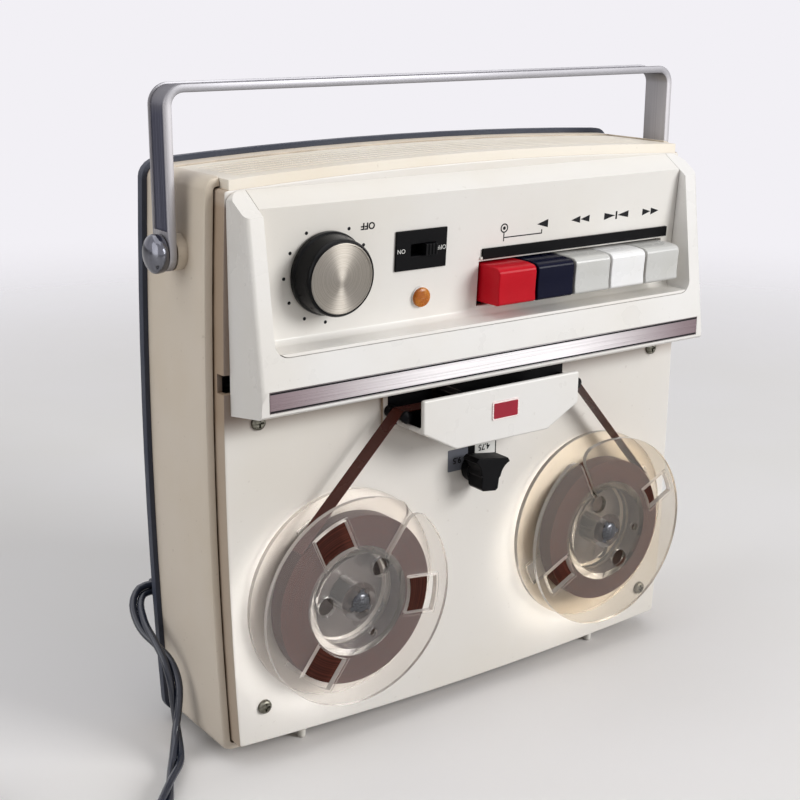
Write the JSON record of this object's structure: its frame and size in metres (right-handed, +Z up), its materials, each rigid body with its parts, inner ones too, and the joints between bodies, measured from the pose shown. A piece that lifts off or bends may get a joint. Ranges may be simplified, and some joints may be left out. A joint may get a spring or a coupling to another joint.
{
  "type": "reel-to-reel tape recorder",
  "caption": "Portable reel-to-reel tape recorder standing on end: clear reels with tape past a head cover, piano keys, volume knob, strap handle and mains cord.",
  "frame": {"origin": "on the floor under the middle of the case's bounding box, cord left out", "axes": "+Z up, front face with the reels and the controls towards -Y, +X to the viewer's right"},
  "size_m": [0.4155, 0.0969, 0.2348],
  "materials": {
    "cream_plastic": "satin, aged",
    "white_plastic": "satin",
    "grey_plastic": "matte",
    "black_plastic": "satin",
    "slider_plastic": "gloss",
    "rubber": "matte",
    "clear_plastic": "clear",
    "tape": "satin",
    "steel": "brushed",
    "brass": "machined",
    "aluminium": "brushed",
    "chrome": "polished",
    "amber": "tinted",
    "key_red": "gloss",
    "key_navy": "gloss",
    "key_grey": "gloss",
    "key_white": "gloss",
    "speaker": "matte",
    "board": "resin board",
    "iron": "varnished laminations",
    "cord": "satin",
    "tie": "satin"
  },
  "bodies": {
    "recorder": {"case_tub": "cream_plastic", "deck_plate": "white_plastic", "control_housing": "cream_plastic", "control_panel": "cream_plastic", "trim_strip": "aluminium", "top_grille": "cream_plastic", "back_cover": "grey_plastic", "head_cover": "cream_plastic", "case_feet": "white_plastic", "base_pads": "rubber", "tape_run": "tape", "shaft_bushes": "brass", "takeup_belt": "rubber", "head_base": "cream_plastic", "tape_guides": "steel", "erase_head": "steel", "play_head": "steel", "drive_motor": "steel", "drive_belt": "rubber", "volume_pot": "steel", "switch_plate": "black_plastic", "lamp_lens": "amber", "lamp_holder": "white_plastic", "key_shaft": "steel", "key_frame": "steel", "key_springs": "brass", "chassis": "steel", "loudspeaker": "speaker", "amp_board": "board", "power_transformer": "iron", "battery_box": "black_plastic", "handle_pivots": "chrome", "screws": "steel", "cord_gland": "cord", "cord_run": "cord", "cord_coil": "cord", "cord_tie": "tie", "plug": "cord"},
    "supply": {"supply_reel": "clear_plastic", "supply_tape": "tape", "supply_spindle": "steel"},
    "takeup": {"takeup_reel": "clear_plastic", "takeup_tape": "tape", "takeup_spindle": "steel"},
    "flywheel": {"flywheel": "brass", "capstan_shaft": "steel"},
    "motor_rotor": {"motor_pulley": "brass"},
    "pinch_arm": {"pinch_arm": "steel"},
    "pinch_roller": {"pinch_roller": "rubber"},
    "speed_knob": {"speed_knob": "black_plastic"},
    "volume": {"volume_knob": "black_plastic", "knob_cap": "aluminium", "volume_shaft": "steel"},
    "switch_slider": {"switch_slider": "slider_plastic"},
    "key_record": {"key_record": "key_red"},
    "key_play": {"key_play": "key_navy"},
    "key_forward": {"key_forward": "key_grey"},
    "key_stop": {"key_stop": "key_white"},
    "key_rewind": {"key_rewind": "key_grey"},
    "handle": {"handle": "aluminium"}
  },
  "joints": [
    {"name": "takeup_spin", "type": "hinge", "parent": "recorder", "child": "takeup", "pos_m": [-0.0591, -0.0195, 0.0582], "axis": [0, -1, 0], "continuous": true},
    {"name": "supply_spin", "type": "hinge", "parent": "recorder", "child": "supply", "pos_m": [0.0591, -0.0195, 0.0582], "axis": [0, -1, 0], "continuous": true},
    {"name": "motor_spin", "type": "hinge", "parent": "recorder", "child": "motor_rotor", "pos_m": [0.04, -0.0083, 0.104], "axis": [0, 1, 0], "continuous": true},
    {"name": "flywheel_spin", "type": "hinge", "parent": "recorder", "child": "flywheel", "pos_m": [-0.016, -0.0083, 0.12567], "axis": [0, 1, 0], "continuous": true},
    {"name": "pinch_swing", "type": "hinge", "parent": "recorder", "child": "pinch_arm", "pos_m": [-0.0055, -0.02, 0.1136], "axis": [0, 1, 0], "range_deg": [0, 5.4]},
    {"name": "pinch_spin", "type": "hinge", "parent": "pinch_arm", "child": "pinch_roller", "pos_m": [-0.016, -0.0259, 0.11612], "axis": [0, -1, 0], "continuous": true},
    {"name": "speed_turn", "type": "hinge", "parent": "recorder", "child": "speed_knob", "pos_m": [0, -0.0183, 0.093], "axis": [0, -1, 0], "range_deg": [0, 20]},
    {"name": "volume_turn", "type": "hinge", "parent": "recorder", "child": "volume", "pos_m": [-0.0676, -0.02459, 0.1746], "axis": [0, 0.9977, 0.0673], "range_deg": [0, 270]},
    {"name": "power_slide", "type": "slide", "parent": "recorder", "child": "switch_slider", "axis": [-1, 0, 0], "range_m": [0, 0.005]},
    {"name": "key_record_press", "type": "hinge", "parent": "recorder", "child": "key_record", "pos_m": [0.00595, -0.026, 0.143], "axis": [-1, 0, 0], "range_deg": [0, 9], "stiffness_Nm_per_rad": 0.3, "springref_deg": -6.88},
    {"name": "key_play_press", "type": "hinge", "parent": "recorder", "child": "key_play", "pos_m": [0.02385, -0.026, 0.143], "axis": [-1, 0, 0], "range_deg": [0, 9], "stiffness_Nm_per_rad": 0.3, "springref_deg": -6.88},
    {"name": "key_forward_press", "type": "hinge", "parent": "recorder", "child": "key_forward", "pos_m": [0.04175, -0.026, 0.143], "axis": [-1, 0, 0], "range_deg": [0, 9], "stiffness_Nm_per_rad": 0.3, "springref_deg": -6.88},
    {"name": "key_stop_press", "type": "hinge", "parent": "recorder", "child": "key_stop", "pos_m": [0.05965, -0.026, 0.143], "axis": [-1, 0, 0], "range_deg": [0, 9], "stiffness_Nm_per_rad": 0.3, "springref_deg": -6.88},
    {"name": "key_rewind_press", "type": "hinge", "parent": "recorder", "child": "key_rewind", "pos_m": [0.07755, -0.026, 0.143], "axis": [-1, 0, 0], "range_deg": [0, 9], "stiffness_Nm_per_rad": 0.3, "springref_deg": -6.88},
    {"name": "handle_swing", "type": "hinge", "parent": "recorder", "child": "handle", "pos_m": [0, 0.0044, 0.181], "axis": [1, 0, 0], "range_deg": [-90, 90]}
  ],
  "couplings": [
    {"joint": "supply_spin", "follows": "takeup_spin", "ratio": 1.0877},
    {"joint": "motor_spin", "follows": "flywheel_spin", "ratio": 5.25},
    {"joint": "pinch_swing", "follows": "key_play_press", "ratio": 0.6}
  ]
}
